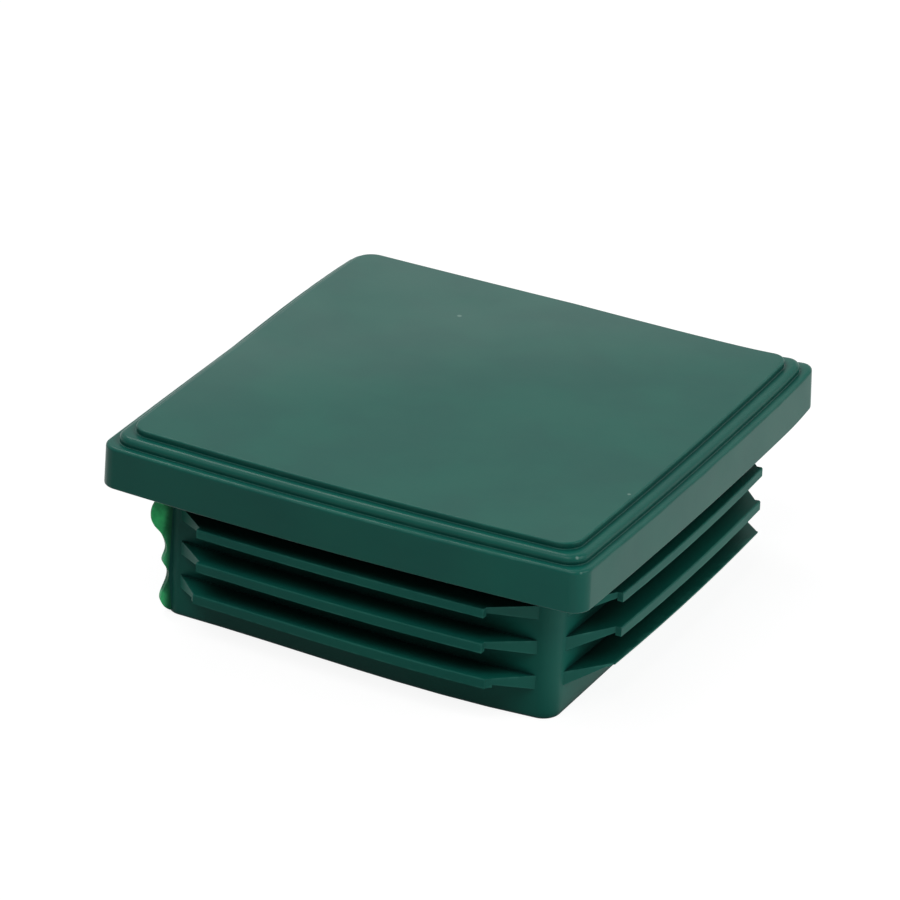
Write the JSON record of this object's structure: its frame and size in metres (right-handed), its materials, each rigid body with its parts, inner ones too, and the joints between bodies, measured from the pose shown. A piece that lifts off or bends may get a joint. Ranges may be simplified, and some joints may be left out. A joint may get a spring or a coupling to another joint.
{
  "type": "square tube end cap",
  "caption": "Moulded plastic end cap for a square tube: stepped square head over a hollow skirt with flexible gripping fins.",
  "frame": {"origin": "centre of the skirt's open bottom rim, on the surface that the cap stands on", "axes": "+Z from the open rim to the head, +X and +Y square to the four walls; the flash is at the -X -Y corner"},
  "size_m": [0.0606, 0.0606, 0.0239],
  "materials": {
    "green_plastic": "dark green moulded polyethylene, smooth with a soft satin sheen, thin flash lighter green where light passes through it"
  },
  "bodies": {
    "root": {"end_cap": "green_plastic"}
  },
  "joints": []
}
